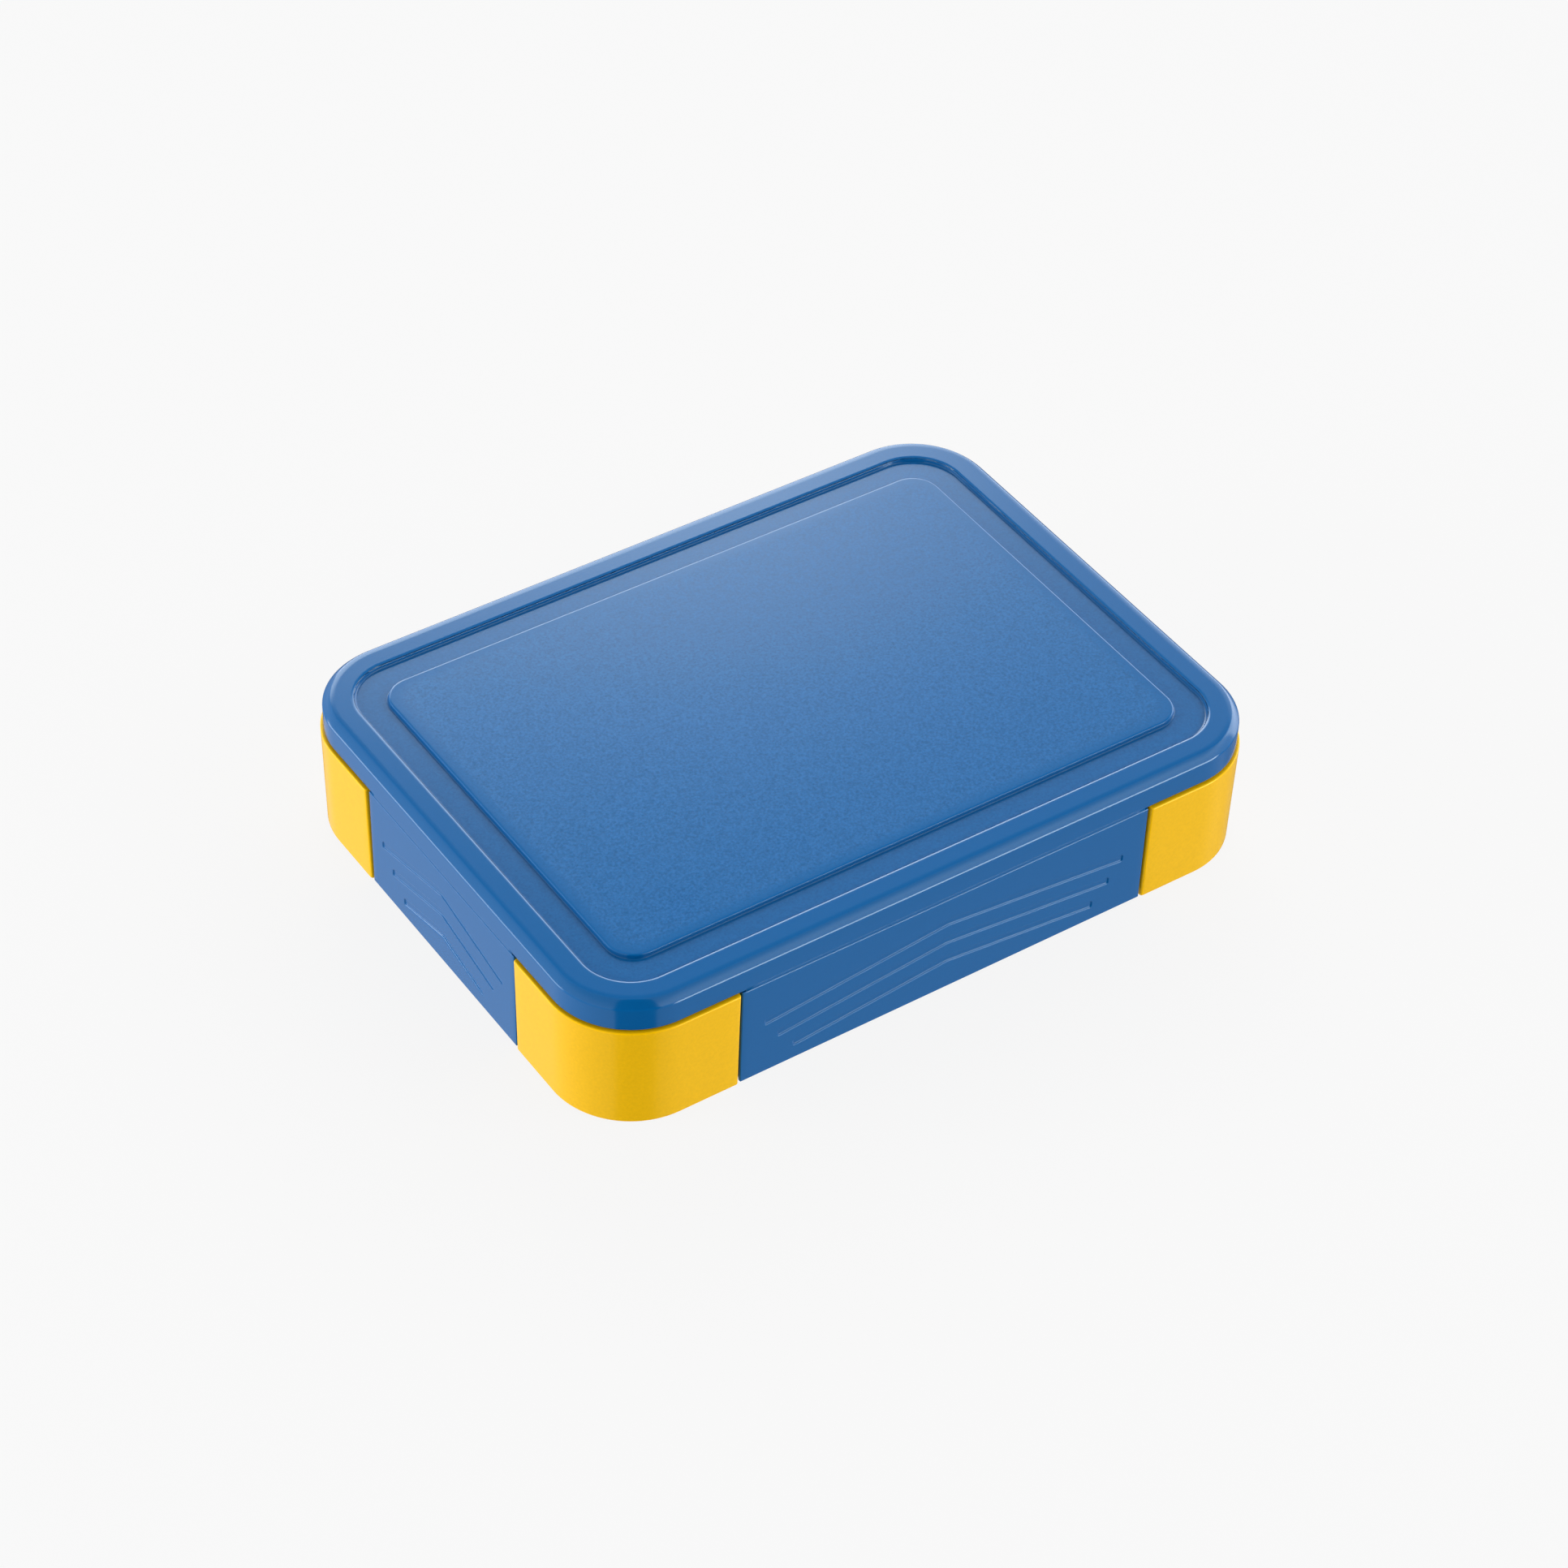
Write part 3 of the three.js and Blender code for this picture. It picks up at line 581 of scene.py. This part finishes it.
def hinge_piece(side):
    """A living hinge: a thin strip, thicker where it runs into the skirt above and the flap below."""
    half = SPAN[side] - 1.3
    along = np.linspace(-half, half, 40)
    h = np.linspace(0.75, -0.75, 15)
    outer = 0.16 + 0.14 * np.clip(np.abs(h) - 0.3, 0, 1)
    inner = -0.17 - 0.5 * np.clip(np.abs(h) - 0.25, 0, 1) ** 1.5
    o, h = np.concatenate([outer, inner[::-1]]), np.concatenate([h, h[::-1]])
    basis, place = side_frame(side)
    local = np.stack(np.broadcast_arrays(column(o), column(h), along[None, :]), -1)
    total = len(o) * len(along)
    made = make_piece(f"hinge_{side}_web", (local @ basis.T + place).reshape(-1, 3),
                      carried_faces(len(o), len(along)), BLUE,
                      {"grain": np.zeros(total), "edge": np.zeros(total)})
    fix_normals(made)
    return made


# ---- Tray -----------------------------------------------------------------------------------------
TUB_RADIUS, TUB_LIP = 20.2, 1.0                 # corner radius of a compartment's mouth, and the flat round it
TRAY_RIM, TRAY_ROLL = 5.2, 1.6                  # inset of the tray's outer edge, and the flat inside it
TRAY_WALL = 1.4


def tray_cells():
    """The four compartments' mouths as (x, y, half x, half y), with walls 4 mm wide between them."""
    x0, y0 = -HALF_X + 8.0, -HALF_Y + 8.0
    split = x0 + 0.56 * (-2 * x0)
    cells = []
    for left, right, share in ((x0, split - 2, 0.6), (split + 2, -x0, 0.42)):
        mid = y0 + share * (-2 * y0)
        for low, high in ((y0, mid - 2), (mid + 2, -y0)):
            cells.append(((left + right) / 2, (low + high) / 2, (right - left) / 2, (high - low) / 2))
    return cells


def rounded_loop(cx, cy, hx, hy, r, arc=14):
    """One rounded rectangle, counter-clockwise."""
    q = np.linspace(0, math.pi / 2, arc + 1)
    parts = []
    for sx, sy, quarters in ((1, -1, -1), (1, 1, 0), (-1, 1, 1), (-1, -1, 2)):
        start = quarters * math.pi / 2
        x, y = cx + sx * (hx - r) + r * np.cos(start + q), cy + sy * (hy - r) + r * np.sin(start + q)
        parts.append(np.stack([x, y], 1))
    return np.vstack(parts)


def outside_by(points, cx, cy, hx, hy, r):
    """Signed distance of points from a rounded rectangle, above 0 outside it."""
    d = np.abs(points - (cx, cy)) - np.array([hx - r, hy - r])
    return np.hypot(*np.maximum(d, 0).T) + np.minimum(d.max(1), 0) - r


def build_tray():
    """Four tubs, each a stack of rounded loops, hung from one flat land that fills what lies between them."""
    land_z, floor_z = TOP - 10.7 - 0.15, 4.5
    verts, faces, edges, rims = [], [], [], []

    def stack(profile, loop_of, cap):
        loops = [loop_of(inset) for inset, _ in profile]
        count = len(loops[0])
        first = sum(len(v) for v in verts)
        verts.extend(np.column_stack([loop, np.full(count, z)]) for loop, (_, z) in zip(loops, profile))
        # the edge value paints highlights on the tubs' turned-out edges and shade in their hollows
        edges.append(np.repeat(turning(profile[:, 0], profile[:, 1]), count))
        faces.extend(grid_faces(len(loops), count, first=first))
        if cap:
            faces.append(list(range(first, first + count)))
        return first, count, len(loops)

    for cx, cy, hx, hy in tray_cells():
        profile = rounded([(9.0, floor_z, 0), (4.6, floor_z, 2.4), (1.9, floor_z + 5.5, 2.4),
                           (0.0, land_z, 0.9), (-TUB_LIP, land_z, 0)], 7)
        tub = lambda i: rounded_loop(cx, cy, hx - i, hy - i, max(TUB_RADIUS - i, 4))
        first, count, rows = stack(profile, tub, True)
        rims.append(list(range(first + (rows - 1) * count, first + rows * count)))
    land_in = TRAY_RIM + TRAY_ROLL
    profile = rounded([(land_in, land_z, 0), (TRAY_RIM, land_z, 0.7), (TRAY_RIM, land_z - 2.2, 0)], 5)
    edge_loop = lambda i: rounded_loop(0, 0, HALF_X - i, HALF_Y - i, CORNER - i, 22)
    first, count, _ = stack(profile, edge_loop, False)
    points = np.vstack(verts)
    loops = [list(range(first, first + count))] + rims
    used = np.concatenate(loops)
    flat = [Vector(p) for p in points[used][:, :2]]
    borders, at = [], 0
    for ring in loops:
        borders += [(at + i, at + (i + 1) % len(ring)) for i in range(len(ring))]
        at += len(ring)
    co, _, tris, *_ = geometry.delaunay_2d_cdt(flat, borders, [], 0, 1e-6)
    centres = np.array([np.mean([co[i] for i in t], axis=0) for t in tris])
    keep = outside_by(centres, 0, 0, HALF_X - land_in, HALF_Y - land_in, CORNER - land_in) < 1e-3
    for cx, cy, hx, hy in tray_cells():
        keep &= outside_by(centres, cx, cy, hx + TUB_LIP, hy + TUB_LIP, TUB_RADIUS + TUB_LIP) > -1e-3
    for t, ok in zip(tris, keep):
        if ok:
            a, b, c = (np.array(co[i]) for i in t)
            turn = (b[0] - a[0]) * (c[1] - a[1]) - (b[1] - a[1]) * (c[0] - a[0])
            ids = [int(used[i]) for i in t]
            faces.append(ids if turn > 0 else ids[::-1])
    made = make_piece("tray_tubs", points, faces, PALE,
                      {"grain": np.full(len(points), 0.5), "edge": np.concatenate(edges)})
    wall = made.modifiers.new("Wall", "SOLIDIFY")
    wall.thickness, wall.offset = TRAY_WALL * MM, -1.0
    return made


lid = build_lid()
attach(lid, "lid")
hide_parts("lid")
gasket = build_gasket()
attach(gasket, "lid")
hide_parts("lid_gasket")
base = build_base()
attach(base, "base")
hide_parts("base_box")
tray = build_tray()
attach(tray, "tray")
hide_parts("inner_tray")
for side in SIDES:
    panel = flap_piece(side)
    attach(panel, f"flap_{side}")
    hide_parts(f"flap_{side}")
    web = hinge_piece(side)
    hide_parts(f"hinge_{side}")
    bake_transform(web)


# ---- Studio ---------------------------------------------------------------------------------------
FLOOR_HALF = 80.0                               # metres, so that its edge is the horizon
BACKDROP = 0.93                                 # the plain backdrop above the floor, where it is seen directly

# Brightness of the surroundings by direction. Each part of the circle goes from one azimuth to another, in
# degrees counter-clockwise from +X, fades over a margin in radians, and has its own run of (elevation,
# brightness). Where two parts overlap they add up, and what lies between the parts is dark.
SURROUNDINGS = (
    (82, 218, 0.02, (
        (-90, 0.62), (-40, 0.62), (-15, 0.35), (8, 1.1), (20, 1.0), (31, 1.0), (45, 0.6), (68, 0.5), (90, 0.5))),
    (-90, -10, 0.02, (
        (-90, 0.45), (-40, 0.45), (-20, 0.1), (6, 1.1), (15, 1.1), (31, 2.1), (45, 0.95), (68, 0.5), (90, 0.5))),
    (124, 158, 0.08, ((-90, 0.0), (-24, 0.0), (-15, 4.2), (4, 4.2), (10, 0.0), (90, 0.0))),
    (-73, -42, 0.08, ((-90, 0.0), (-30, 0.0), (-22, 8.0), (7, 8.0), (12, 0.0), (90, 0.0))),
    (-10, 53, 0.09, (
        (-90, 0.2), (-15, 0.3), (-4, 2.5), (6, 3.8), (28, 3.8), (36, 1.8), (39, 1.5), (41, 0.5), (50, 0.25),
        (90, 0.4))),
    (53, 82, 0.09, (
        (-90, 0.2), (-15, 0.3), (-4, 3.0), (6, 5.0), (28, 5.6), (39, 5.1), (40.7, 0.6), (50, 0.22), (90, 0.4))),
)
PEAK = 8.0                                      # the brightest value in SURROUNDINGS


def build_floor():
    """A pale floor that is bright of itself, like a light table, with a little of the lamps' light on it."""
    mesh = bpy.data.meshes.new("floor")
    r = FLOOR_HALF
    mesh.from_pydata([(-r, -r, 0), (r, -r, 0), (r, r, 0), (-r, r, 0)], [], [(0, 1, 2, 3)])
    floor = bpy.data.objects.new("floor", mesh)
    bpy.context.scene.collection.objects.link(floor)
    mat = bpy.data.materials.new("Pale floor")
    mat.use_nodes = True
    g = Graph(mat.node_tree)
    g.tree.nodes.clear()
    shader = g.node("ShaderNodeBsdfPrincipled", {
        "Base Color": (0.05, 0.05, 0.05, 1), "Roughness": 0.9, "Specular IOR Level": 0.0,
        "Emission Color": (1.0, 1.0, 1.0, 1), "Emission Strength": 0.88,
    })
    out = g.node("ShaderNodeOutputMaterial")
    g.tree.links.new(shader.outputs[0], out.inputs["Surface"])
    mesh.materials.append(mat)
    floor.visible_glossy = False


def build_world():
    """The surroundings as soft panels of light in the world's own colour."""
    world = bpy.data.worlds.new("Studio")
    bpy.context.scene.world = world
    world.use_nodes = True
    g = Graph(world.node_tree)
    g.tree.nodes.clear()
    way = g.node("ShaderNodeTexCoord").outputs["Generated"]
    x, y, z = g.node("ShaderNodeSeparateXYZ", {0: way}).outputs
    across = g.math("SQRT", g.math("ADD", g.math("MULTIPLY", x, x), g.math("MULTIPLY", y, y)))
    height = g.math("ADD", g.math("MULTIPLY", z, 0.5), 0.5)
    total = 0.0
    for start, end, soft, run in SURROUNDINGS:
        middle, half = math.radians((start + end) / 2), math.radians((end - start) / 2)
        toward = g.math("ADD", g.math("MULTIPLY", x, math.cos(middle)),
                        g.math("MULTIPLY", y, math.sin(middle)))
        turn = g.math("ARCCOSINE", g.math("DIVIDE", toward, across))
        inside = g.math("MULTIPLY", g.math("SUBTRACT", half + soft / 2, turn), 1 / soft, clamp=True)
        ramp = g.node("ShaderNodeValToRGB", {0: height})
        stops = ramp.color_ramp.elements
        while len(stops) < len(run):
            stops.new(0.5)
        for stop, (elevation, light) in zip(stops, run):
            stop.position = (math.sin(math.radians(elevation)) + 1) / 2
            stop.color = (light / PEAK,) * 3 + (1,)
        part = g.math("MULTIPLY", g.math("MULTIPLY", inside, ramp.outputs[0]), PEAK)
        total = g.math("ADD", total, part)
    seen = g.node("ShaderNodeLightPath").outputs["Is Camera Ray"]
    unseen = g.math("SUBTRACT", 1.0, seen)
    shown = g.math("ADD", g.math("MULTIPLY", total, unseen), g.math("MULTIPLY", seen, BACKDROP))
    shade = g.node("ShaderNodeBackground", {"Color": (1, 1, 1, 1), "Strength": shown})
    out = g.node("ShaderNodeOutputWorld")
    g.tree.links.new(shade.outputs[0], out.inputs["Surface"])


def lamp(name, spot, size, watts):
    """A square soft lamp at `spot`, in metres, that faces the box. It isn't seen in reflections."""
    data = bpy.data.lights.new(name, "AREA")
    data.size, data.energy = size, watts
    made = bpy.data.objects.new(name, data)
    bpy.context.scene.collection.objects.link(made)
    made.location = spot
    made.rotation_euler = (LAMP_AIM - Vector(spot)).to_track_quat("-Z", "Y").to_euler()
    made.visible_glossy = False


LAMP_AIM = Vector((0, 0, 0.02))                 # the middle of the box, near its foot
build_floor()
build_world()
lamp("Right lamp", (0.89, -1.06, 0.82), 0.7, 5.6)
lamp("Left lamp", (-1.48, 0.54, 0.28), 0.7, 18.8)
lamp("Back lamp", (0.33, 0.47, 0.70), 0.5, 0.9)

# The camera's place in metres, its lens in millimetres on a 36 mm sensor, and where it looks, in degrees
CAMERA_PLACE, LENS = (-0.587141, -0.836349, 0.945233), 98.866
AZIMUTH, ELEVATION, ROLL = -35.16, 42.321, 1.957


def build_camera():
    """The camera, from its place and its own three axes: right, up and back."""
    data = bpy.data.cameras.new("Camera")
    data.sensor_width, data.lens = 36.0, LENS
    camera = bpy.data.objects.new("Camera", data)
    bpy.context.scene.collection.objects.link(camera)
    turn, rise, roll = (math.radians(angle) for angle in (AZIMUTH, ELEVATION, ROLL))
    back = Vector((math.sin(turn) * math.cos(rise), -math.cos(turn) * math.cos(rise), math.sin(rise)))
    level = Vector((math.cos(turn), math.sin(turn), 0))
    right = level * math.cos(roll) + back.cross(level) * math.sin(roll)
    axes = Matrix((right, back.cross(right), back)).transposed().to_4x4()
    camera.matrix_world = Matrix.Translation(CAMERA_PLACE) @ axes
    data.clip_start, data.clip_end = 0.05, 50
    bpy.context.scene.camera = camera


build_camera()
bpy.context.scene.view_settings.view_transform = "Standard"
